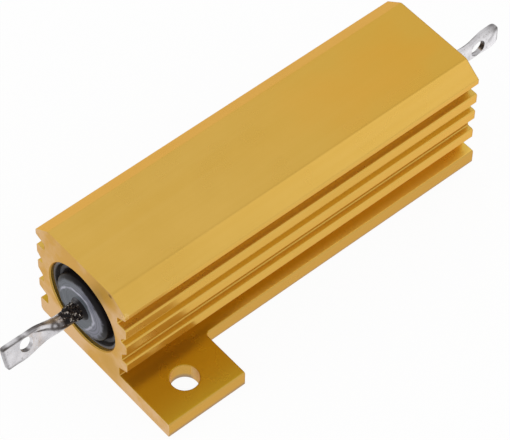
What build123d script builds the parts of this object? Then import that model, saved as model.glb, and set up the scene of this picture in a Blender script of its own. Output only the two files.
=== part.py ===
from build123d import *
import os

# Wirewound power resistor, 50 W class, in an aluminium housing for mounting on a chassis.
# Frame: +X along the leads, +Z up from the mounting face, origin in the middle of that face.
# Millimetres and degrees throughout.

# --- housing: a length of finned extrusion, sawn off and bored ------------------------------
body_length = 50.0
base_thickness = 2.25
bore_radius = 5.5
bore_chamfer = 0.15
wall_under_bore = 2.6
side_wall = 1.15            # metal between the bore and the roots of the shallow grooves
shallow_groove = 0.85       # grooves beside the bore
deep_groove = 1.4           # grooves next to the base and under the eave
fin_tip = 1.4               # height of a fin at its outer edge
eave = 0.8                  # height of the edge under the sloping shoulder
shoulder_drop = 1.65
shoulder_run = 2.2
tip_rounding = 0.22
foot_rounding = 0.5         # lower edges of the base
crown_rounding = 0.6        # where the shoulders meet the flat top
root_rounding = 0.18

# Grooves of one side from the base up: height of the mouth, depth, and how far the
# ceiling climbs from the root to the mouth.
grooves = (
    (2.1, deep_groove, 0.6),
    (1.9, shallow_groove, 0.9),
    (1.4, shallow_groove, 0.9),
    (1.7, deep_groove, 0.6),
)
tips = (fin_tip, fin_tip, fin_tip, eave)

# --- base: both flanges are milled back to a lip, which leaves two diagonal fixing tabs -----
overall_width = 28.9
tab_length = 10.5
near_lip = 7.9              # from the middle plane to the lip on the -Y side
far_lip = 7.45              # and on the +Y side
cutter_radius = 0.4
fixing_pitch_x = 39.7
fixing_pitch_y = 21.6
fixing_hole_radius = 1.65

# --- moulding: fills the bore round the element and stands a little proud of each end -------
moulding_gap = 0.02
rim_recess = 0.5            # the moulding meets the bore this far inside the end face
rim_width = 0.3
rim_slope = 0.3
ring_groove_depth = 1.0     # below the end face
plateau_radius = 4.3        # at the bottom of the ring groove
plateau_draft = 0.15
plateau_bevel = 0.25
plateau_proud = 0.2
collar_radius = 1.45        # the compound creeps a little way up the lead
collar_top_radius = 1.1
collar_height = 0.9

# --- element: a wound ceramic core with a cup pressed over each end -------------------------
core_radius = 3.2
end_cover = 4.5             # compound between an end cap and the end face
cap_depth = 4.5
cap_wall = 0.35
cap_bevel = 0.2
barrel_gap = 0.05           # between the barrel of the core and the mouth of a cap
press_gap = 0.01
cavity_gap = 0.04

# --- winding: resistance ribbon, its ends welded down on the end caps -----------------------
ribbon_width = 0.9
ribbon_thickness = 0.2
ribbon_seat = 0.01
winding_pitch = 4.0
winding_overlap = 1.7       # how far the ribbon runs onto each cap

# --- terminals: round lead, flattened and pierced -------------------------------------------
lead_radius = 0.9
lead_gap = 0.02
terminal_reach = 10.4       # from the end face to the tip
flat_start = 6.5            # from the end face to the full width of the flat
flat_run = 3.4              # length over which the round turns into the flat
flat_width = 3.0
flat_thickness = 0.62
eye_radius = 0.9
eye_from_tip = 2.95
front_lean = 72.0           # angle of the flat's width from level, the top leaning to +Y
front_tip_corner = 0.35
front_eye_rise = 0.2        # of the eye above the middle of the flat
rear_lean = 87.0
rear_tip_corner = 1.1
rear_eye_rise = -0.25

half_length = body_length / 2
fin_half_width = bore_radius + side_wall + shallow_groove
axis_height = wall_under_bore + bore_radius
element_half = half_length - end_cover
core_half = element_half - cap_wall
cap_bore_radius = core_radius - cap_wall
ribbon_inner_radius = core_radius + ribbon_seat
ribbon_outer_radius = ribbon_inner_radius + ribbon_thickness
lead_bore_radius = lead_radius + lead_gap


def side_corners(lip):
    """Corners of one side of the section and their roundings, from the base up to the crown."""
    height = base_thickness
    corners = [((0, 0), 0), ((lip, 0), foot_rounding), ((lip, height), tip_rounding)]
    for (mouth, depth, climb), tip in zip(grooves, tips):
        root = fin_half_width - depth
        corners.append(((root, height), root_rounding))
        corners.append(((root, height + mouth - climb), root_rounding))
        height += mouth
        corners.append(((fin_half_width, height), tip_rounding))
        height += tip
        corners.append(((fin_half_width, height), tip_rounding))
    height += shoulder_drop
    corners.append(((fin_half_width - shoulder_run, height), crown_rounding))
    corners.append(((0, height), 0))
    return corners


def half_section(lip):
    """One side of the section as a face, from the middle plane outwards."""
    points, roundings = zip(*side_corners(lip))
    return make_face(FilletPolyline(*points, radius=roundings, close=True))


def fixing_tab(lip):
    """The tab at the -X end of the -Y side, with the corner that the cutter left at the lip."""
    reach = overall_width / 2
    inner = tab_length + cutter_radius
    corner_start = lip + cutter_radius
    sides = Polyline(
        (inner, -lip), (inner, 0), (0, 0), (0, -reach), (tab_length, -reach), (tab_length, -corner_start)
    )
    corner = CenterArc((inner, -corner_start), cutter_radius, 90, 90)
    slab = extrude(make_face(sides + corner), base_thickness)
    outer_edges = slab.edges().filter_by(Axis.X).group_by(Axis.Y)[0]
    slab = Pos(-half_length, 0, 0) * fillet(outer_edges, tip_rounding)
    hole = Cylinder(fixing_hole_radius, 4 * base_thickness)
    return slab - Pos(-fixing_pitch_x / 2, -fixing_pitch_y / 2, 0) * hole


def housing():
    """The finned body with its bore and both tabs."""
    section = mirror(half_section(near_lip), Plane.YZ) + half_section(far_lip)
    body = extrude(Plane.YZ.offset(-half_length) * section, body_length)
    body = body + fixing_tab(near_lip) + Rot(0, 0, 180) * fixing_tab(far_lip)
    bore = Pos(0, 0, axis_height) * Rot(0, 90, 0) * Cylinder(bore_radius, 2 * body_length)
    bored = body - bore
    rims = new_edges(body, bore, combined=bored).filter_by(GeomType.CIRCLE)
    return chamfer(rims, bore_chamfer)


def end_outline():
    """Outline of the moulded end from the bore in: distance from the end face, and radius."""
    outer = bore_radius - moulding_gap
    rim_foot = outer - rim_width
    plateau_edge = plateau_radius - plateau_draft
    collar_end = plateau_proud + collar_height
    return [
        (-rim_recess, outer),
        (-rim_recess, rim_foot),
        (-ring_groove_depth, rim_foot - rim_slope),
        (-ring_groove_depth, plateau_radius),
        (plateau_proud - plateau_bevel, plateau_edge),
        (plateau_proud, plateau_edge - plateau_bevel),
        (plateau_proud, collar_radius),
        (collar_end, collar_top_radius),
        (collar_end, lead_bore_radius),
    ]


def moulding():
    """Both ends of the moulding and the sleeve between them, hollow for the element."""
    cap_face = element_half + cavity_gap
    cavity = ribbon_outer_radius + cavity_gap
    profile = [(0, bore_radius - moulding_gap)]
    profile += [(half_length + x, radius) for x, radius in end_outline()]
    profile += [(cap_face, lead_bore_radius), (cap_face, cavity), (0, cavity)]
    half = revolve(make_face(Polyline(*profile, close=True)), Axis.X)
    return Pos(0, 0, axis_height) * (half + mirror(half, Plane.YZ))


def ceramic_core():
    """The barrel under the winding, stepped down at each end to enter the caps."""
    barrel = Cylinder(core_radius, 2 * (element_half - cap_depth - barrel_gap))
    spigots = Cylinder(cap_bore_radius - press_gap, 2 * core_half)
    return Pos(0, 0, axis_height) * (Rot(0, 90, 0) * (barrel + spigots))


def end_cap():
    """The cup over the +X end of the core."""
    mouth_down = (Align.CENTER, Align.CENTER, Align.MAX)
    cup = Cylinder(core_radius, cap_depth, align=mouth_down)
    cup = chamfer(cup.edges().group_by(Axis.Z)[-1], cap_bevel)
    cup = cup - Pos(0, 0, -cap_wall) * Cylinder(cap_bore_radius, cap_depth, align=mouth_down)
    return Pos(element_half, 0, axis_height) * (Rot(0, 90, 0) * cup)


def winding():
    """Flat ribbon wound on its broad side, as one helix from cap to cap."""
    span = 2 * (element_half - cap_depth + winding_overlap) - ribbon_width
    helix = Helix(winding_pitch, span, ribbon_inner_radius + ribbon_thickness / 2)
    start = Plane(origin=helix @ 0, x_dir=(1, 0, 0), z_dir=helix % 0)
    coil = sweep(start * Rectangle(ribbon_thickness, ribbon_width), path=helix, is_frenet=True)
    return Pos(-span / 2, 0, axis_height) * (Rot(0, 90, 0) * coil)


def flat_plan(tip_corner, eye_rise):
    """Plan of the flattened end of a terminal: rounded corners at the tip, and the eye."""
    reach = half_length + terminal_reach
    half_width = flat_width / 2
    start = half_length + flat_start
    corners = [(start, -half_width), (reach, -half_width), (reach, half_width), (start, half_width)]
    roundings = (0, tip_corner, tip_corner, 0)
    outline = make_face(FilletPolyline(*corners, radius=roundings, close=True))
    return outline - Pos(reach - eye_from_tip, eye_rise) * Circle(eye_radius)


def terminal(lean, tip_corner, eye_rise):
    """The +X terminal: a round lead flattened into a pierced tab, turned up by the lean."""
    flat_from = half_length + flat_start
    round_end = flat_from - flat_run
    round_section = Plane.YZ.offset(round_end) * Circle(lead_radius)
    flat_section = Plane.YZ.offset(flat_from) * Rectangle(flat_width, flat_thickness)
    lead = extrude(round_section, element_half - round_end)
    neck = loft([round_section, flat_section])
    strip = extrude(flat_plan(tip_corner, eye_rise), flat_thickness / 2, both=True)
    return Pos(0, 0, axis_height) * (Rot(lean, 0, 0) * (lead + neck + strip))


turned_round = Rot(0, 0, 180)
parts = {
    "housing": housing(),
    "moulding": moulding(),
    "ceramic_core": ceramic_core(),
    "winding": winding(),
    "end_cap_front": turned_round * end_cap(),
    "end_cap_rear": end_cap(),
    "terminal_front": turned_round * terminal(180 - front_lean, front_tip_corner, front_eye_rise),
    "terminal_rear": terminal(rear_lean, rear_tip_corner, rear_eye_rise),
}

os.makedirs("parts", exist_ok=True)
for name, solid in parts.items():
    export_step(solid, f"parts/{name}.step")
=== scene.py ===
"""Looks of the wirewound power resistor: finishes, solder lugs, moulded ends, light and camera."""
import math

import bpy
from mathutils import Matrix, Vector, noise

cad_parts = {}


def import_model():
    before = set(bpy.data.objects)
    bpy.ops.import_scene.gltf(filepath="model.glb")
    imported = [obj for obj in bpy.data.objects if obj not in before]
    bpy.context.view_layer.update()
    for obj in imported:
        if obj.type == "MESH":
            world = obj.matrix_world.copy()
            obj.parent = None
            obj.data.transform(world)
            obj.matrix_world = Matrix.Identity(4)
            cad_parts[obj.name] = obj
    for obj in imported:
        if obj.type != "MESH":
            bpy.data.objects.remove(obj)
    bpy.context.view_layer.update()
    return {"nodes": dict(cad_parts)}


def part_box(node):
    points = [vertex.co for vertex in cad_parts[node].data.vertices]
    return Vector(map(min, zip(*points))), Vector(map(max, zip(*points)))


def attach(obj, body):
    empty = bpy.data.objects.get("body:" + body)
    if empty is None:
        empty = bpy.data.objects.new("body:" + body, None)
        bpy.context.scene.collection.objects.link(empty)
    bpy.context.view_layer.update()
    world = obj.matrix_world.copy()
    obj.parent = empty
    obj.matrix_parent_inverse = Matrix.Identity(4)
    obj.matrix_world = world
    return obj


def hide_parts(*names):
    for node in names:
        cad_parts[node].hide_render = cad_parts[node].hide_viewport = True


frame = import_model()
MM = 0.001

# --- sizes, in metres, taken from the frame where it has them ------------------------------------
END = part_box("housing")[1].x                    # from the middle to an end face
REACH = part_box("terminal_rear")[1].x            # from the middle to the tip of a lug
AXIS = sum(corner.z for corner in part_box("winding")) / 2
LEAD = 0.9 * MM                                 # radius of a lead
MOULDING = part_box("moulding")[1].y              # radius of the moulding
CAVITY_GAP = 0.04 * MM                          # between the moulding and the element in it
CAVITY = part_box("winding")[1].y + CAVITY_GAP    # radius of the moulding's cavity
CAVITY_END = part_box("end_cap_rear")[1].x + CAVITY_GAP
LEAD_BORE = LEAD + 0.02 * MM                    # radius of the moulding round a lead

# Places on the housing
LEDGE = 2.25 * MM                               # height of the base plate's upper side
EAVE = 13.6 * MM                                # height of the top of the uppermost groove
FIN_TIPS = 7.5 * MM                             # from the middle plane to the tips of the fins
ROOTS = 6.65 * MM                               # and to the roots of the shallow grooves
ROOT_FOOT = 5.85 * MM                           # height of the foot of the lower one's root

# The flow line, a ragged ring on the moulding's plateau, with a painted highlight along it
FLOW_CENTRE = (0.8 * MM, -0.9 * MM)             # from the axis
FLOW_RADIUS = 2.65 * MM
FLOW_WIDTH = 0.22 * MM                          # from its middle to either side
FLOW_AIM = (-0.57, 0.82)                        # the way in which it bulges
FLOW_BULGE = 75.0                               # how fast it bulges, per metre


# --- node helpers --------------------------------------------------------------------------------
class Nodes:
    """Short calls for building one procedural material."""

    def __init__(self, name):
        self.material = bpy.data.materials.new(name)
        self.material.use_nodes = True
        self.tree = self.material.node_tree
        self.tree.nodes.clear()
        self.output = self.add("ShaderNodeOutputMaterial")
        self.shader = self.add("ShaderNodeBsdfPrincipled")
        self.link(self.shader.outputs[0], self.output.inputs["Surface"])
        self.coords = self.add("ShaderNodeTexCoord").outputs["Object"]

    def add(self, kind, **settings):
        node = self.tree.nodes.new(kind)
        for key, value in settings.items():
            setattr(node, key, value)
        return node

    def link(self, source, target):
        self.tree.links.new(source, target)

    def put(self, socket, value):
        if isinstance(value, bpy.types.NodeSocket):
            self.link(value, socket)
        else:
            socket.default_value = value

    def set(self, **values):
        """Sets or links the shader's own sockets, named with _ for a space."""
        for name, value in values.items():
            self.put(self.shader.inputs[name.replace("_", " ")], value)

    # Numbers
    def math(self, operation, a, b=0.0):
        node = self.add("ShaderNodeMath", operation=operation)
        self.put(node.inputs[0], a)
        self.put(node.inputs[1], b)
        return node.outputs[0]

    def plus(self, a, b):
        return self.math("ADD", a, b)

    def minus(self, a, b):
        return self.math("SUBTRACT", a, b)

    def times(self, product, *factors):
        for factor in factors:
            product = self.math("MULTIPLY", product, factor)
        return product

    def absolute(self, value):
        return self.math("ABSOLUTE", value)

    def length(self, a, b):
        return self.math("SQRT", self.plus(self.math("POWER", a, 2.0), self.math("POWER", b, 2.0)))

    def ramp(self, value, low, high, start=0.0, end=1.0, kind="LINEAR"):
        """From low at start to high at end, and level beyond them."""
        node = self.add("ShaderNodeMapRange", interpolation_type=kind)
        self.link(value, node.inputs["Value"])
        node.inputs["From Min"].default_value = start
        node.inputs["From Max"].default_value = end
        node.inputs["To Min"].default_value = low
        node.inputs["To Max"].default_value = high
        return node.outputs[0]

    def band(self, value, centre, width):
        """1 at the centre, falling to 0 at the width on either side."""
        away = self.absolute(self.minus(value, centre))
        return self.ramp(away, 1, 0, 0, width, "SMOOTHSTEP")

    # Places
    def split(self, vector):
        node = self.add("ShaderNodeSeparateXYZ")
        self.link(vector, node.inputs[0])
        return node.outputs

    def normals(self):
        """The parts of the surface's normal along X, Y and Z."""
        return self.split(self.add("ShaderNodeNewGeometry").outputs["True Normal"])

    def near(self, point, start, end):
        """1 within start of a point, falling to 0 at end."""
        node = self.add("ShaderNodeVectorMath", operation="DISTANCE")
        self.link(self.coords, node.inputs[0])
        node.inputs[1].default_value = point
        return self.ramp(node.outputs["Value"], 1, 0, start, end, "SMOOTHSTEP")

    def radius_from_axis(self):
        """Distance from the leads' common axis, in metres."""
        place = self.split(self.coords)
        return self.length(place[1], self.minus(place[2], AXIS))

    # Textures and tones
    def noise(self, scale, detail=3.0, roughness=0.5, stretch=(1, 1, 1)):
        stretched = self.add("ShaderNodeMapping")
        self.link(self.coords, stretched.inputs["Vector"])
        stretched.inputs["Scale"].default_value = stretch
        node = self.add("ShaderNodeTexNoise")
        self.link(stretched.outputs[0], node.inputs["Vector"])
        node.inputs["Scale"].default_value = scale
        node.inputs["Detail"].default_value = detail
        node.inputs["Roughness"].default_value = roughness
        return node.outputs["Fac"]

    def mix(self, fac, a, b):
        node = self.add("ShaderNodeMix", data_type="RGBA")
        self.put(node.inputs["Factor"], fac)
        self.put(node.inputs["A"], a)
        self.put(node.inputs["B"], b)
        return node.outputs["Result"]

    def bump(self, height, strength, distance, normal=None):
        node = self.add("ShaderNodeBump")
        node.inputs["Strength"].default_value = strength
        node.inputs["Distance"].default_value = distance
        self.link(height, node.inputs["Height"])
        if normal is not None:
            self.link(normal, node.inputs["Normal"])
        return node.outputs[0]


def rgb(red, green, blue):
    """A colour written as it shows on a screen, 0 to 255, as linear values."""
    def linear(value):
        value /= 255
        return value / 12.92 if value <= 0.04045 else ((value + 0.055) / 1.055) ** 2.4
    return (linear(red), linear(green), linear(blue), 1.0)


def plain(name, low, high, metallic, rough):
    """A clouded material between two tones."""
    n = Nodes(name)
    cloud = n.noise(1500, 3, 0.6)
    n.set(Base_Color=n.mix(cloud, low, high), Metallic=metallic)
    n.set(Roughness=n.ramp(cloud, rough - 0.06, rough + 0.06))
    n.set(Normal=n.bump(cloud, 0.2, 0.02 * MM))
    return n.material


# --- gold anodised housing -----------------------------------------------------------------------
class HousingNodes(Nodes):
    """Nodes that know where on the housing a point lies."""

    def __init__(self, name):
        super().__init__(name)
        self.x, self.y, self.z = self.split(self.coords)
        self.normal = self.normals()
        self.off_middle = self.absolute(self.y)
        # Along X, growing away from the fixing tab on the point's own side.
        self.from_tab = self.times(self.x, self.math("SIGN", self.times(self.y, -1.0)))
        # 1 on the -Y side and faint on the other; then 1 on the parts that they name.
        self.near_side = self.ramp(self.y, 1, 0.15, -1 * MM, 1 * MM)
        self.end_face = self.ramp(self.absolute(self.normal[0]), 0, 1, 0.9, 0.98)
        self.plate = self.ramp(self.z, 1, 0, LEDGE + 0.05 * MM, LEDGE + 0.3 * MM)
        self.ledge = self.times(self.plate, self.ramp(self.normal[2], 0, 1, 0.9, 0.98))
        outside = self.ramp(self.off_middle, 0, 1, FIN_TIPS - 0.6 * MM, FIN_TIPS + 0.3 * MM)
        past_tab = self.ramp(self.from_tab, 0, 1, -14 * MM, -8 * MM)
        self.lip = self.times(outside, past_tab, self.ledge, self.near_side)


def crown_tone(n, tone):
    """The top turns deeper towards the rear, with a few amber clouds."""
    rearward = n.ramp(n.x, 0, 1, -8 * MM, 20 * MM)
    rearward = n.times(rearward, n.ramp(n.normal[2], 0, 1, 0.85, 0.97))
    clouds = n.ramp(n.noise(75, 3, 0.55, stretch=(0.7, 1, 1)), 0.1, 1, 0.42, 0.6)
    deep = n.mix(clouds, rgb(216, 171, 68), rgb(223, 167, 60))
    return n.mix(n.times(rearward, 0.8), tone, deep)


def side_tone(n, tone):
    """The sides are painted paler towards the rear, painted light; the grooves and roots carry
    painted light and shade.
    """
    # Painted light: side faces paler away from their tabs, towards the rear.
    side = n.ramp(n.absolute(n.normal[1]), 0, 1, 0.5, 0.9)
    side = n.times(side, n.ramp(n.from_tab, 0, 0.9, 4 * MM, 24 * MM))
    tone = n.mix(side, tone, rgb(231, 184, 91))
    # Painted light: the grooves are painted paler, to lift the shade in them.
    grooves = n.ramp(n.off_middle, 1, 0, FIN_TIPS - 0.25 * MM, FIN_TIPS - 0.1 * MM)
    grooves = n.times(grooves, n.ramp(n.z, 1, 0, EAVE, EAVE + 0.2 * MM))
    tone = n.mix(grooves, tone, rgb(223, 185, 88))
    # Painted shade in the root of the lower shallow groove, near its foot.
    root = n.band(n.off_middle, ROOTS + 0.06 * MM, 0.32 * MM)
    root = n.times(root, n.band(n.z, ROOT_FOOT, 0.5 * MM))
    return n.mix(root, tone, rgb(208, 168, 78))


def base_tone(n, tone):
    """The base plate and tabs carry painted reflection, the ledge and lip painted light, the foot
    painted shade.
    """
    # Painted reflection: the base plate and tabs are deeper, as if the gold sides were reflected
    # in them.
    tone = n.mix(n.plate, tone, rgb(207, 164, 80))
    # Painted shade: greyer and darker towards the bottom, near the floor.
    tone = n.mix(n.ramp(n.z, 0.85, 0, 0.2 * MM, 0.75 * MM), tone, rgb(152, 136, 120))
    # Painted light: the ledge is paler towards the rear and away from the tab, and the lip is
    # brighter still.
    paler = n.times(n.ramp(n.from_tab, 0, 1, -13 * MM, 24 * MM), n.near_side)
    ledge = n.mix(paler, rgb(198, 157, 42), rgb(234, 192, 82))
    return n.mix(n.ledge, tone, n.mix(n.lip, ledge, rgb(252, 214, 108)))


def sawn_end_tone(n):
    """Saw-cut ends are paler: the film is thinner over the torn grain."""
    patches = n.plus(n.noise(330, 3, 0.6), n.ramp(n.off_middle, -0.09, 0.11, 2 * MM, 8 * MM))
    foot = n.ramp(n.z, 0.36, 0, 2.4 * MM, 4.6 * MM)
    foot = n.times(foot, n.ramp(n.y, 0, 1, -2.2 * MM, 0.4 * MM))
    patches = n.ramp(n.plus(patches, foot), 0, 1, 0.42, 0.68)
    tone = n.mix(patches, rgb(217, 176, 98), rgb(228, 196, 150))
    amber = n.near((-END, -4.3 * MM, 14.6 * MM), 0.6 * MM, 2.4 * MM)
    tone = n.mix(n.times(amber, 0.9), tone, rgb(213, 169, 72))
    deeper = n.near((-END, -4.6 * MM, 2.5 * MM), 0.8 * MM, 2.8 * MM)
    return n.mix(n.times(deeper, 0.8), tone, rgb(208, 168, 88))


def saw_marks_and_bore_shade(n, tone):
    """A bruise at the front corner of the crown, bare specks at the eave, and painted shade on the
    bore chamfer.
    """
    bruise = n.near((-END, -5.1 * MM, 15.55 * MM), 0.05 * MM, 0.4 * MM)
    tone = n.mix(bruise, tone, rgb(150, 112, 54))
    specks = n.near((-END, -7.35 * MM, 13.9 * MM), 0.4 * MM, 0.85 * MM)
    specks = n.times(specks, n.ramp(n.noise(4600, 2, 0.6), 0, 0.8, 0.5, 0.6))
    tone = n.mix(specks, tone, rgb(250, 218, 150))
    # Painted shade: a dark band round the mouth of the bore.
    chamfer = n.band(n.radius_from_axis(), MOULDING + 0.09 * MM, 0.1 * MM)
    return n.mix(n.times(chamfer, 0.75), tone, rgb(150, 104, 48))


def gold_relief(n, streaks):
    """Fine grain over the streaks of extrusion, or over saw marks on the ends, with soft edges."""
    coarse = n.add("ShaderNodeMix", data_type="FLOAT")
    n.link(n.end_face, coarse.inputs["Factor"])
    n.link(streaks, coarse.inputs["A"])
    n.link(n.noise(2500, 2, 0.5, stretch=(0.2, 0.06, 1)), coarse.inputs["B"])
    edges = n.add("ShaderNodeBevel", samples=8)
    edges.inputs["Radius"].default_value = 0.18 * MM
    relief = n.bump(coarse.outputs["Result"], 0.25, 0.03 * MM, edges.outputs[0])
    return n.bump(n.noise(3500, 2, 0.6), 0.05, 0.01 * MM, relief)


def anodised_gold():
    n = HousingNodes("gold_anodised")
    cloud = n.noise(160, 4, 0.55)
    streaks = n.noise(900, 3, 0.6, stretch=(0.03, 1, 1))
    tone = n.mix(n.ramp(cloud, 0, 1, 0.3, 0.7), rgb(217, 174, 79), rgb(222, 179, 85))
    tone = n.mix(n.ramp(streaks, 0, 0.3, 0.35, 0.75), tone, rgb(227, 188, 100))
    tone = crown_tone(n, tone)
    tone = side_tone(n, tone)
    tone = base_tone(n, tone)
    tone = n.mix(n.end_face, tone, sawn_end_tone(n))
    tone = saw_marks_and_bore_shade(n, tone)
    rough = n.plus(n.ramp(cloud, 0.25, 0.31), n.times(n.lip, 0.2))
    n.set(Base_Color=tone, Metallic=0.85, Specular_Tint=(0.92, 0.62, 0.42, 1))
    n.set(Roughness=n.plus(rough, n.times(n.end_face, 0.22)), Normal=gold_relief(n, streaks))
    return n.material


# --- dark moulding compound ----------------------------------------------------------------------
def flow_line(n):
    """The line where the compound closed round the lead, a ragged ring with a painted highlight,
    and all beyond it.
    """
    place = n.split(n.coords)
    along = n.plus(place[1], -FLOW_CENTRE[0])
    up = n.plus(place[2], -AXIS - FLOW_CENTRE[1])
    drift = n.ramp(n.noise(420, 2, 0.5), -0.25 * MM, 0.25 * MM, 0.25, 0.75)
    bulge = n.plus(n.times(along, FLOW_AIM[0]), n.times(up, FLOW_AIM[1]))
    bulge = n.math("POWER", n.math("MAXIMUM", bulge, 0.0), 2.0)
    away = n.minus(n.plus(n.length(along, up), drift), n.times(bulge, FLOW_BULGE))
    # The ring stays open on its lower side towards +Y.
    open_side = n.minus(n.times(along, 0.6), n.times(up, 0.8))
    closed = n.ramp(open_side, 1, 0, 0.4 * MM, 1.2 * MM)
    line = n.times(n.band(away, FLOW_RADIUS, FLOW_WIDTH), closed)
    line = n.times(line, n.ramp(n.noise(700, 2, 0.5), 0.35, 1, 0.38, 0.52))
    beyond = n.ramp(away, 0, 1, FLOW_RADIUS - 0.1 * MM, FLOW_RADIUS + 0.25 * MM)
    beyond = n.times(beyond, n.ramp(place[1], 1, 0.15, -1.2 * MM, 1.2 * MM), closed)
    return line, beyond


def plateau_tone(n, cloud, radius):
    """Grey dust in faint rings, paler beyond the flow line, and a painted highlight on it."""
    node = n.add("ShaderNodeTexNoise", noise_dimensions="1D")
    n.link(radius, node.inputs["W"])
    node.inputs["Scale"].default_value = 5200
    rings = node.outputs["Fac"]
    tone = n.mix(n.ramp(rings, 0, 1, 0.35, 0.65), rgb(82, 87, 93), rgb(104, 109, 117))
    tone = n.mix(n.ramp(cloud, 0, 0.5, 0.4, 0.7), tone, rgb(111, 115, 122))
    line, beyond = flow_line(n)
    dusted = n.times(beyond, n.ramp(rings, 0.2, 0.9, 0.3, 0.6))
    tone = n.mix(dusted, tone, rgb(132, 131, 146))
    # Painted highlight along the flow line.
    return n.mix(line, tone, rgb(184, 184, 198))


def wall_tone(n, cloud, radius, facing):
    """Nearly black: the compound's own colour, and in the ring groove painted shade. Greyer on the
    groove floor and flash.
    """
    tone = n.mix(n.ramp(cloud, 0, 1, 0.3, 0.7), rgb(13, 8, 9), rgb(26, 22, 24))
    groove_floor = n.times(facing, n.ramp(radius, 0, 0.8, 4.15 * MM, 4.4 * MM))
    tone = n.mix(groove_floor, tone, rgb(72, 72, 77))
    ragged = n.plus(radius, n.times(cloud, 0.1 * MM))
    flash = n.ramp(ragged, 0, 0.8, 5.2 * MM, 5.4 * MM)
    return n.mix(n.times(facing, flash), tone, rgb(132, 130, 134))


def moulded_compound():
    n = Nodes("dark_compound")
    cloud = n.noise(500, 4, 0.6)
    radius = n.radius_from_axis()
    out = n.minus(n.absolute(n.split(n.coords)[0]), END)
    normal = n.normals()
    facing = n.ramp(n.absolute(normal[0]), 0, 1, 0.6, 0.97)
    ragged = n.plus(radius, n.ramp(n.noise(900, 3, 0.6), -0.25 * MM, 0.25 * MM, 0.3, 0.7))
    # Beyond the plateau's ragged rim the compound stays near black, which in the ring groove is
    # painted shade.
    inside = n.ramp(ragged, 1, 0, 3.45 * MM, 3.95 * MM, "SMOOTHSTEP")
    outside = n.ramp(radius, 0, 1, 1.3 * MM, 1.45 * MM, "SMOOTHSTEP")
    plateau = n.times(facing, n.times(inside, outside))
    residue = n.ramp(out, 0, 1, 0.5 * MM, 0.75 * MM)
    residue = n.times(residue, n.ramp(radius, 1, 0, 1.9 * MM, 2.1 * MM))
    dark = wall_tone(n, cloud, radius, facing)
    # Brown flecks in the residue round the lead, and white flecks that are painted glints.
    fleck_and_glint = n.noise(3500, 4, 0.75, stretch=(1, 1, 0.55))
    dark = n.mix(n.times(n.ramp(fleck_and_glint, 0, 0.8, 0.5, 0.58), residue), dark, rgb(70, 52, 36))
    dark = n.mix(n.times(n.ramp(fleck_and_glint, 0, 1, 0.59, 0.63), residue), dark, rgb(214, 209, 202))
    # A painted highlight, grey, on the upper side of the collar, towards +Y.
    collar_highlight = n.times(n.ramp(normal[2], 0, 0.6, 0.5, 0.8), n.ramp(out, 1, 0, 0.7 * MM, 0.85 * MM))
    collar_highlight = n.times(collar_highlight, n.ramp(normal[1], 0, 1, 0.0, 0.35))
    collar_highlight = n.times(collar_highlight, n.ramp(radius, 1, 0, 1.5 * MM, 1.6 * MM))
    collar_highlight = n.times(collar_highlight, n.ramp(cloud, 0.2, 1, 0.4, 0.6))
    dark = n.mix(collar_highlight, dark, rgb(128, 126, 129))
    n.set(Base_Color=n.mix(plateau, dark, plateau_tone(n, cloud, radius)), Specular_IOR_Level=0.14)
    n.set(Roughness=n.minus(n.ramp(cloud, 0.34, 0.46), n.times(residue, 0.2)))
    lumps = n.times(n.noise(3600, 2, 0.5), n.plus(n.times(residue, 2.0), 0.25))
    n.set(Normal=n.bump(lumps, 0.5, 0.05 * MM))
    return n.material


# --- tinned lugs ---------------------------------------------------------------------------------
class LugNodes(Nodes):
    """Nodes that know where on a lug a point lies."""

    def __init__(self, name, lean, eye):
        super().__init__(name)
        self.eye = eye
        self.cloud = self.noise(700, 4, 0.6)
        place, normal = self.split(self.coords), self.normals()
        up = self.minus(place[2], AXIS)
        turn = math.radians(lean)
        self.out = self.minus(self.absolute(place[0]), END)
        self.across = self.along(place[1], up, turn)
        self.through = self.along(place[1], up, turn + math.pi / 2)
        self.rising = self.along(normal[1], normal[2], turn)

    def along(self, level, up, turn):
        """How far a vector of the YZ plane reaches in the direction at turn from +Y."""
        return self.plus(self.times(level, math.cos(turn)), self.times(up, math.sin(turn)))

    def between(self, start, full, last, end):
        """1 from full to last along the lug, falling to 0 at start and at end."""
        begun = self.ramp(self.out, 0, 1, start, full)
        return self.times(begun, self.ramp(self.out, 1, 0, last, end))

    def eye_wall(self, aim, reach):
        """1 on the part of the eye's wall that lies towards aim, an angle from the tip upwards."""
        radius, from_tip, rise = self.eye
        dx = self.minus(self.out, REACH - END - from_tip)
        dy = self.minus(self.across, rise)
        towards = self.along(dx, dy, math.radians(aim))
        wall = self.ramp(self.length(dx, dy), 1, 0, 1.04 * radius, 1.09 * radius)
        return self.times(wall, self.ramp(towards, 0, 1, reach * radius, (reach + 0.25) * radius))


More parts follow.
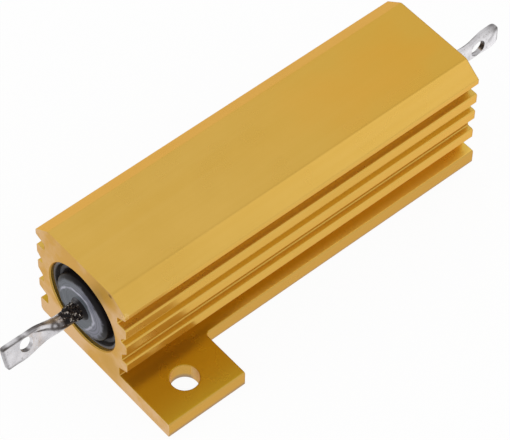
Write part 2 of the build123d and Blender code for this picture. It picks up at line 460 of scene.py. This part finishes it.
def front_painted_dark(n):
    """Painted dark reflections and shade on the front lug as (mask, least, most)."""
    to_tip = REACH - END
    # Painted dark reflections in a line with two blots along the upper edge, and on the lower edge
    # and the tip.
    line = n.times(n.band(n.across, 1.28 * MM, 0.24 * MM), n.ramp(n.out, 0, 1, 5.2 * MM, 6 * MM))
    blots = n.plus(n.band(n.out, 7.95 * MM, 0.7 * MM), n.band(n.out, 10 * MM, 0.6 * MM))
    blots = n.times(blots, n.band(n.across, 1.36 * MM, 0.3 * MM))
    lower = n.ramp(n.across, 1, 0, -1.4 * MM, -1.05 * MM)
    lower = n.times(lower, n.ramp(n.out, 0, 1, 7.2 * MM, 9 * MM))
    tip = n.ramp(n.out, 0, 1, to_tip - 0.36 * MM, to_tip - 0.14 * MM)
    # Painted dark reflection on the neck's upper side, and painted shade on the round lead's under
    # side before it.
    upper_side = n.ramp(n.rising, 0, 1, 0.45, 0.75)
    upper_side = n.times(upper_side, n.between(3.9 * MM, 4.9 * MM, 6.7 * MM, 7.3 * MM))
    under = n.times(n.ramp(n.rising, 1, 0, -0.85, -0.6), n.ramp(n.out, 1, 0, 2.2 * MM, 2.8 * MM))
    # Painted shade in a line slantwise over the neck, where the press left a crease, narrowing
    # towards the flat.
    off_crease = n.absolute(n.minus(n.times(n.out, 0.39), n.plus(n.across, 1.37 * MM)))
    width = n.ramp(n.out, 0.42 * MM, 0.08 * MM, 3.4 * MM, 6.4 * MM)
    crease = n.ramp(n.math("DIVIDE", off_crease, width), 1, 0, 0.3, 1)
    crease = n.times(crease, n.ramp(n.out, 1, 0, 5.8 * MM, 6.6 * MM))
    # Beside it the neck bears a ring-shaped mark of painted shade.
    swirl = n.length(n.minus(n.out, 3.9 * MM), n.minus(n.across, 0.45 * MM))
    ring = n.band(n.plus(swirl, n.times(n.cloud, 0.2 * MM)), 0.42 * MM, 0.32 * MM)
    return (
        (line, 0.35, 1.0),
        (under, 0.8, 1.0),
        (blots, 0.6, 1.0),
        (lower, 0.5, 0.95),
        (tip, 0.15, 0.55),
        (upper_side, 0.6, 1.0),
        (crease, 0.6, 1.0),
        (ring, 0.7, 1.0),
        # Painted shade on one side of the eye's wall.
        (n.eye_wall(-62, 0.65), 0.85, 1.0),
    )


def rear_painted_dark(n):
    """Painted dark reflections and shade on the rear lug as (mask, least, most)."""
    to_tip = REACH - END
    # Painted dark reflections on the upper half, a smear, the tip, the neck and a corner; painted
    # shade on the eye's wall.
    upper = n.ramp(n.across, 0, 1, 0.3 * MM, 1.5 * MM)
    upper = n.times(upper, n.ramp(n.ramp(n.out, 0, 1, 7.8 * MM, 9.6 * MM), 0.35, 1))
    off_smear = n.minus(n.times(n.out, 1.4), n.plus(n.across, 13.1 * MM))
    smear = n.times(n.band(off_smear, 0, 0.9 * MM), n.ramp(n.across, 0, 1, -0.6 * MM, 0.2 * MM))
    tip = n.ramp(n.out, 0, 1, to_tip - 0.3 * MM, to_tip - 0.1 * MM)
    neck = n.ramp(n.rising, 0, 1, 0.4, 0.7)
    neck = n.times(neck, n.between(4.4 * MM, 5.6 * MM, 6.8 * MM, 7.6 * MM))
    neck = n.times(neck, n.ramp(n.through, 1, 0, -0.22 * MM, -0.08 * MM))
    from_corner = n.length(n.minus(n.out, 9.9 * MM), n.minus(n.across, 1.4 * MM))
    return (
        (upper, 0.4, 0.7),
        (smear, 0.35, 0.75),
        (tip, 0.45, 0.85),
        (neck, 0.8, 1.0),
        (n.ramp(from_corner, 1, 0, 0.3 * MM, 1.0 * MM), 0.3, 0.6),
        (n.eye_wall(15, 0.3), 0.8, 1.0),
        (n.eye_wall(-110, 0.3), 0.1, 0.4),
    )


def tinned_metal(name, tin, lean, eye, painted_dark):
    """Tin, darkened to the grey of base metal in the places the marks function gives: painted dark
    reflection and shade.
    """
    n = LugNodes(name, lean, eye)
    bright = (value + 36 for value in tin)
    tone = n.mix(n.ramp(n.cloud, 0, 1, 0.3, 0.7), rgb(*tin), rgb(*bright))
    tone = n.mix(n.ramp(n.noise(1900, 3, 0.6), 0, 0.7, 0.6, 0.72), tone, rgb(140, 136, 134))
    streaks = n.ramp(n.noise(520, 4, 0.65, stretch=(0.35, 1, 1)), 0, 1, 0.36, 0.6)
    # Each mark is painted dark reflection or painted shade, in the grey of base metal.
    for mark, least, most in painted_dark(n):
        tone = n.mix(n.times(mark, n.ramp(streaks, least, most)), tone, rgb(70, 63, 60))
    # Dark blotches on the lead next to the compound.
    blotches = n.ramp(n.noise(1900, 4, 0.7, stretch=(0.45, 1, 1)), 0, 1, 0.42, 0.54)
    blotches = n.times(n.ramp(n.out, 1, 0, 2.8 * MM, 4.4 * MM), blotches)
    tone = n.mix(blotches, tone, rgb(56, 46, 42))
    n.set(Base_Color=tone, Metallic=0.8, Roughness=n.ramp(n.cloud, 0.2, 0.36))
    n.set(Normal=n.bump(n.cloud, 0.3, 0.08 * MM))
    return n.material


# --- mesh helpers --------------------------------------------------------------------------------
def smoothstep(low, high, value):
    t = min(max((value - low) / (high - low), 0.0), 1.0)
    return t * t * (3 - 2 * t)


def mix(a, b, t):
    return a + (b - a) * t


def add_object(name, data):
    made = bpy.data.objects.new(name, data)
    bpy.context.scene.collection.objects.link(made)
    return made


def coat(node, material):
    """Gives a node of the frame its material."""
    mesh = frame["nodes"][node].data
    mesh.materials.clear()
    mesh.materials.append(material)


def piece(name, points, faces, material, node):
    """A new mesh piece that stands for a node of the frame."""
    mesh = bpy.data.meshes.new(name)
    mesh.from_pydata(points, [], faces)
    mesh.materials.append(material)
    mesh.polygons.foreach_set("use_smooth", [True] * len(mesh.polygons))
    mesh.set_sharp_from_angle(angle=math.radians(40))
    made = add_object(name, mesh)
    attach(made, "root")
    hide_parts(node)
    return made


def ring_faces(rings, count, close=False):
    """Quads between rings of points that follow each other, each ring with count points."""
    faces = []
    for ring in range(rings if close else rings - 1):
        here, there = ring * count, (ring + 1) % rings * count
        for k in range(count):
            after = (k + 1) % count
            faces.append((here + k, here + after, there + after, there + k))
    return faces


def rod_faces(rings, count):
    """Quads along a rod of rings, and a face over each of its ends."""
    faces = ring_faces(rings, count)
    faces.append(tuple(reversed(range(count))))
    faces.append(tuple(range((rings - 1) * count, rings * count)))
    return faces


def turned(faces, side):
    """The faces of a shape built towards +X, turned over where it is mirrored to -X."""
    return faces if side > 0 else [tuple(reversed(face)) for face in faces]


def rounded(corners, step):
    """Points along a line of (x, y, radius) corners, each rounded, no more than a step apart."""
    path = []
    for index, (x, y, radius) in enumerate(corners):
        here = Vector((x, y))
        if radius == 0:
            path.append(here)
            continue
        before = (Vector(corners[index - 1][:2]) - here).normalized()
        after = (Vector(corners[index + 1][:2]) - here).normalized()
        half = before.angle(after) / 2
        centre = here + (before + after).normalized() * radius / math.sin(half)
        start = here + before * radius / math.tan(half) - centre
        end = here + after * radius / math.tan(half) - centre
        turn = start.angle_signed(end)
        parts = max(2, round(abs(turn) * radius / step))
        for part in range(parts + 1):
            arm = start.copy()
            arm.rotate(Matrix.Rotation(-turn * part / parts, 2))
            path.append(centre + arm)
    points = [path[0]]
    for point in path[1:]:
        last = points[-1]
        parts = max(1, math.ceil((point - last).length / step))
        points += [last.lerp(point, part / parts) for part in range(1, parts + 1)]
    return points


def rounded_box(half_width, half_height, corner, count):
    """Points round a box with rounded corners, evenly spaced, from the middle of one side."""
    side, top = half_height - corner, half_width - corner       # half of each straight part
    arc = corner * math.pi / 2
    lengths = [side, arc, 2 * top, arc, 2 * side, arc, 2 * top, arc, side]
    total = sum(lengths)
    points = []
    for k in range(count):
        at = total * k / count
        part = 0
        while at > lengths[part]:
            at -= lengths[part]
            part += 1
        if part % 2:
            turn = (part // 2 + at / arc) * math.pi / 2
            centre_x = top if part in (1, 7) else -top
            centre_y = side if part in (1, 3) else -side
            points.append((centre_x + corner * math.cos(turn), centre_y + corner * math.sin(turn)))
            continue
        straight = {
            0: (half_width, at),
            2: (top - at, half_height),
            4: (-half_width, side - at),
            6: (-top + at, -half_height),
            8: (half_width, -side + at),
        }
        points.append(straight[part])
    return points


# --- solder lugs ---------------------------------------------------------------------------------
NECK_START = END + 2.9 * MM         # where the round lead begins to flatten
PRESSED = END + 5.5 * MM            # where it has its least thickness
HALF_FLAT = 0.31 * MM               # half that thickness
FLAT_CORNER = 0.16 * MM             # rounding of the flat's edges
TIP_EDGE = 0.12 * MM                # length over which the tip thins
LUG_ROOT = END - 2 * MM             # where the mesh begins, inside the compound
LUG_STEP = 0.11 * MM                # between the mesh's stations
LUG_COUNT = 72                      # points round each station
TIP_THINNING = 0.6                  # share of a full rounding that the tip's edge has
WAVE = 0.05 * MM                    # how far the flat waves out of its plane
WAVE_LENGTH = 1.6 * MM
DENTS = ((0.9, 0.03), (2.3, 0.012))     # how many to the mm, and how deep in mm
RAGGED_EDGE = 0.02                  # share of the width by which its edges vary
RAGGED_RATE = 0.8                   # how fast they vary along the lug, per mm
PUNCH_COUNT = 40                    # points round the eye
PUNCH_RINGS = [(-1.0, 1.0), (-0.36, 1.0), (0.36, 1.02), (1.0, 1.04)]   # depth in mm, scale
PUNCH_UNEVEN = 0.05                 # share of the eye's radius by which it varies


def corner_cut(to_end, radius):
    """How much a corner rounded to a radius takes off a side, at a distance from its end."""
    if to_end >= radius:
        return 0
    return radius - math.sqrt(max(radius ** 2 - (radius - to_end) ** 2, 0))


def lug_section(x, tip_corner, upper, lower, seed):
    """Points round the lug at x as (across, through), as uneven as the press left it."""
    press = smoothstep(NECK_START, PRESSED, x)
    halves = [
        mix(LEAD, width, smoothstep(begin, full, x - END))
        for begin, full, width in (upper, lower)
    ]
    gone = corner_cut(REACH - x, tip_corner)
    half_width = min(halves) - gone
    half_height = mix(LEAD, HALF_FLAT, press) - TIP_THINNING * corner_cut(REACH - x, TIP_EDGE)
    corner = min(mix(LEAD, FLAT_CORNER, press), half_height, half_width)
    wave = WAVE * press * noise.noise(Vector((x / WAVE_LENGTH, seed, 0)))
    shift = Vector((seed, 2 * seed, 0))
    points = []
    for u, v in rounded_box(half_width, half_height, corner, LUG_COUNT):
        place = Vector((x, u, v)) / MM
        dent = sum(noise.noise(place * often + shift) * deep for often, deep in DENTS)
        v += dent * MM * press * v / half_height
        u *= (halves[0 if u > 0 else 1] - gone) / half_width
        spot = Vector((x / MM * RAGGED_RATE, seed, u / MM))
        u *= 1 + RAGGED_EDGE * noise.noise(spot) * press
        points.append((u, v + wave))
    return points


def lug(name, node, side, lean, tip_corner, eye, upper, lower, tin, painted_dark, seed):
    """A tinned lead, pressed flat and pierced, with the marks of the press on it.

    The eye is (radius, distance from the tip, rise). The upper and lower half of the flat are
    (where it begins to widen, where it has its full width, that width), all from the end face.
    """
    turn = math.radians(lean)
    rise = Vector((0, math.cos(turn), math.sin(turn)))
    normal = Vector((0, -math.sin(turn), math.cos(turn)))
    stations = round((REACH - LUG_ROOT) / LUG_STEP)
    points = []
    for station in range(stations + 1):
        x = LUG_ROOT + (REACH - LUG_ROOT) * station / stations
        for u, v in lug_section(x, tip_corner, upper, lower, seed):
            spot = Vector((x, 0, AXIS)) + rise * u + normal * v
            points.append((side * spot.x, spot.y, spot.z))
    faces = turned(rod_faces(stations + 1, LUG_COUNT), side)
    metal = tinned_metal(name, tin, lean, eye, painted_dark)
    made = piece(name, points, faces, metal, node)
    pierce(made, side, rise, normal, eye, seed)


def pierce(made, side, rise, normal, eye, seed):
    """Cuts the eye with a slightly uneven punch."""
    size, from_tip, height = eye
    middle = Vector((side * (REACH - from_tip), 0, AXIS)) + rise * height
    points = []
    for depth, scale in PUNCH_RINGS:
        for k in range(PUNCH_COUNT):
            angle = 2 * math.pi * k / PUNCH_COUNT
            spot = Vector((math.cos(angle), math.sin(angle), seed)) * 1.5
            radius = size * scale * (1 + PUNCH_UNEVEN * noise.noise(spot))
            along = Vector((side, 0, 0)) * math.cos(angle) + rise * math.sin(angle)
            points.append(middle + along * radius + normal * depth * MM)
    mesh = bpy.data.meshes.new("punch")
    mesh.from_pydata(points, [], turned(rod_faces(len(PUNCH_RINGS), PUNCH_COUNT), side))
    punch = add_object("punch", mesh)
    cut = made.modifiers.new("eye", "BOOLEAN")
    cut.object = punch
    cut.solver = "EXACT"
    apply_modifiers(made)
    bpy.data.objects.remove(punch)


def apply_modifiers(made):
    evaluated = made.evaluated_get(bpy.context.evaluated_depsgraph_get())
    mesh = bpy.data.meshes.new_from_object(evaluated)
    made.modifiers.clear()
    made.data = mesh


# --- moulding ------------------------------------------------------------------------------------
MOULDED_COUNT = 144                 # points round the moulding
MOULDED_STEP = 0.07 * MM            # between rings of points, at the ends
# Corners of an end's outline from the bore in: how far out from the end face, radius and
# rounding, all in mm.
MOULDED_END = [
    (-0.5, MOULDING / MM, 0.05),
    (-0.5, 5.16, 0.1),
    (-1.0, 4.86, 0.15),
    (-1.0, 4.33, 0.3),
    (0.2, 4.14, 0.5),
    (0.2, 1.42, 0.1),
    (0.42, 1.3, 0.15),
    (0.7, 1.04, 0.15),
    (1.9, 1.02, 0.3),
    (2.8, LEAD_BORE / MM, 0),
]


PLATEAU_RIM = 4.2 * MM              # within this radius the compound is uneven
COLLAR_RIM = 1.6 * MM               # and within this one it lies on the lead
RIDGE = 0.05                        # height of the flow line, in mm
SWELL = 0.03                        # unevenness of the plateau, in mm
LUMPS = ((1.9, 0.2), (4.1, 0.26))   # of the residue: how many to the mm, and height in mm
LEAST_LUMP = 0.04                   # in mm
REAR_SHARE = 0.6                    # of the front end's residue that the rear end has


def moulded_ends():
    """The moulding with both its ends: rim, ring groove, plateau and compound up the lead."""
    corners = [(0, MOULDING, 0)]
    for out, radius, rounding in MOULDED_END:
        corners.append((END + out * MM, radius * MM, rounding * MM))
    surface = rounded(corners, MOULDED_STEP)
    half = [Vector((0, MOULDING)), Vector((END / 2, MOULDING))]
    half += [point for point in surface if point.x > END - 2 * MM]
    half += [Vector((CAVITY_END, LEAD_BORE)), Vector((CAVITY_END, CAVITY)), Vector((0, CAVITY))]
    profile = [(point.x, point.y, 1) for point in half]
    profile += [(-point.x, point.y, -1) for point in reversed(half[1:-1])]
    points = []
    for x, radius, side in profile:
        for k in range(MOULDED_COUNT):
            angle = 2 * math.pi * k / MOULDED_COUNT
            dx, dr = unevenness(abs(x) - END, radius, angle, side)
            reach = radius + dr
            y, z = reach * math.cos(angle), AXIS + reach * math.sin(angle)
            points.append((x + side * dx, y, z))
    faces = ring_faces(len(profile), MOULDED_COUNT, close=True)
    piece("moulded_ends", points, faces, moulded_compound(), "moulding")


def unevenness(out, radius, angle, side):
    """How far the compound departs from a turned shape, along X and outwards, in metres."""
    if out < -0.9 * MM or radius > PLATEAU_RIM:
        return 0, 0
    y, z = radius * math.cos(angle) / MM, radius * math.sin(angle) / MM
    place = Vector((out / MM, y, z))
    far = Vector((7.3 * side, 0, 0))
    if radius > COLLAR_RIM:
        # The flow line is a low ridge that runs off centre round the lead.
        along, up = y - FLOW_CENTRE[0] / MM, z - FLOW_CENTRE[1] / MM
        bulge = max(along * FLOW_AIM[0] + up * FLOW_AIM[1], 0) ** 2 * FLOW_BULGE * MM
        off = abs(math.hypot(along, up) - bulge - FLOW_RADIUS / MM)
        ridge = RIDGE * (1 - smoothstep(0.0, FLOW_WIDTH / MM, off))
        return (ridge + SWELL * noise.noise(place * 0.8 + far)) * MM, 0
    # The residue lies in lumps on the upper side of the lead, beyond the smooth collar.
    upper = smoothstep(-0.2, 0.65, math.sin(angle + 0.3 * side))
    heap = smoothstep(0.5, 0.9, out / MM) * (1 - smoothstep(1.7, 2.5, out / MM))
    lump = LEAST_LUMP
    for often, height in LUMPS:
        lump += height * abs(noise.noise(place * often + far))
    share = upper * (1.0 if side < 0 else REAR_SHARE)
    return (upper - 1) * 0.95 * max(out - 0.6 * MM, 0), heap * lump * share * MM


# --- the part ------------------------------------------------------------------------------------
cap_steel = plain("cap_steel", rgb(150, 150, 150), rgb(178, 178, 178), 1.0, 0.35)
coat("housing", anodised_gold())
coat("ceramic_core", plain("core_ceramic", rgb(226, 222, 212), rgb(240, 237, 230), 0.0, 0.6))
coat("winding", plain("resistance_alloy", rgb(132, 128, 124), rgb(156, 151, 146), 1.0, 0.35))
coat("end_cap_front", cap_steel)
coat("end_cap_rear", cap_steel)
moulded_ends()
lug(
    "lug_front", "terminal_front", side=-1, lean=72, tip_corner=0.3 * MM,
    eye=(0.85 * MM, 2.9 * MM, 0.28 * MM),
    upper=(2.9 * MM, 6.4 * MM, 1.48 * MM),
    lower=(4.5 * MM, 8.2 * MM, 1.48 * MM),
    tin=(198, 196, 199), painted_dark=front_painted_dark, seed=3.0,
)
lug(
    "lug_rear", "terminal_rear", side=1, lean=87, tip_corner=1.0 * MM,
    eye=(1.0 * MM, 3.1 * MM, -0.35 * MM),
    upper=(5.2 * MM, 8.8 * MM, 1.68 * MM),
    lower=(2.9 * MM, 6.4 * MM, 1.6 * MM),
    tin=(214, 212, 215), painted_dark=rear_painted_dark, seed=8.0,
)


# --- camera and studio ---------------------------------------------------------------------------
def camera(azimuth, elevation, roll, distance, target, lens):
    """A camera that looks at target from azimuth and elevation, given in degrees."""
    az, el, turn = math.radians(azimuth), math.radians(elevation), math.radians(roll)
    back = Vector((math.sin(az) * math.cos(el), -math.cos(az) * math.cos(el), math.sin(el)))
    level = Vector((math.cos(az), math.sin(az), 0))
    upright = back.cross(level)
    right = level * math.cos(turn) + upright * math.sin(turn)
    up = upright * math.cos(turn) - level * math.sin(turn)
    facing = Matrix((right, up, back)).transposed().to_4x4()
    data = bpy.data.cameras.new("camera")
    data.lens = lens
    data.sensor_width = 36
    data.clip_start = 0.01
    eye = add_object("camera", data)
    eye.matrix_world = Matrix.Translation(Vector(target) + back * distance) @ facing
    bpy.context.scene.camera = eye


def floor(reach):
    """A pale matt floor that the camera and the metal see as nearly white paper."""
    n = Nodes("pale_floor")
    n.set(Base_Color=(0.96, 0.96, 0.96, 1), Roughness=0.9)
    glow = n.add("ShaderNodeEmission")
    glow.inputs["Strength"].default_value = 1.0
    rays = n.add("ShaderNodeLightPath").outputs
    seen = n.math("MAXIMUM", rays["Is Camera Ray"], rays["Is Glossy Ray"])
    seen = n.math("MAXIMUM", seen, rays["Is Transmission Ray"])
    blend = n.add("ShaderNodeMixShader")
    n.link(n.times(seen, 0.94), blend.inputs["Fac"])
    n.link(n.shader.outputs[0], blend.inputs[1])
    n.link(glow.outputs[0], blend.inputs[2])
    n.link(blend.outputs[0], n.output.inputs["Surface"])
    mesh = bpy.data.meshes.new("floor")
    corners = [(-reach, -reach, 0), (reach, -reach, 0), (reach, reach, 0), (-reach, reach, 0)]
    mesh.from_pydata(corners, [], [(0, 1, 2, 3)])
    mesh.materials.append(n.material)
    ground = add_object("floor", mesh)


def lamp(name, place, aim, size, energy):
    """A round lamp, unseen by the camera."""
    data = bpy.data.lights.new(name, "AREA")
    data.shape = "DISK"
    data.size = size
    data.energy = energy
    light = add_object(name, data)
    light.location = place
    light.visible_camera = False
    light.rotation_euler = (Vector(aim) - Vector(place)).to_track_quat("-Z", "Y").to_euler()


def world(strength, overhead, direction, core, edge):
    """An even white surround, dimmer overhead within core degrees of a direction, up to edge."""
    sky = bpy.data.worlds.new("studio")
    sky.use_nodes = True
    bpy.context.scene.world = sky
    tree = sky.node_tree
    shade = tree.nodes["Background"]
    shade.inputs["Color"].default_value = (1, 1, 1, 1)
    coords = tree.nodes.new("ShaderNodeTexCoord")
    dot = tree.nodes.new("ShaderNodeVectorMath")
    dot.operation = "DOT_PRODUCT"
    tree.links.new(coords.outputs["Generated"], dot.inputs[0])
    dot.inputs[1].default_value = Vector(direction).normalized()
    soft = tree.nodes.new("ShaderNodeMapRange")
    soft.interpolation_type = "SMOOTHSTEP"
    tree.links.new(dot.outputs["Value"], soft.inputs["Value"])
    soft.inputs["From Min"].default_value = math.cos(math.radians(edge))
    soft.inputs["From Max"].default_value = math.cos(math.radians(core))
    soft.inputs["To Min"].default_value = strength
    soft.inputs["To Max"].default_value = overhead
    tree.links.new(soft.outputs[0], shade.inputs["Strength"])


camera(azimuth=-41.66, elevation=52.63, roll=1.40, distance=0.3127,
       target=(-0.00192, -0.00129, 0.00529), lens=201.3)
floor(reach=3.0)
lamp("key", place=(0.107, -0.10, 0.162), aim=(0.02, 0, 0.01), size=0.1, energy=0.008)
world(strength=0.87, overhead=0.76, direction=(0.4, -0.12, 0.91), core=12, edge=26)
bpy.context.scene.view_settings.view_transform = "Standard"
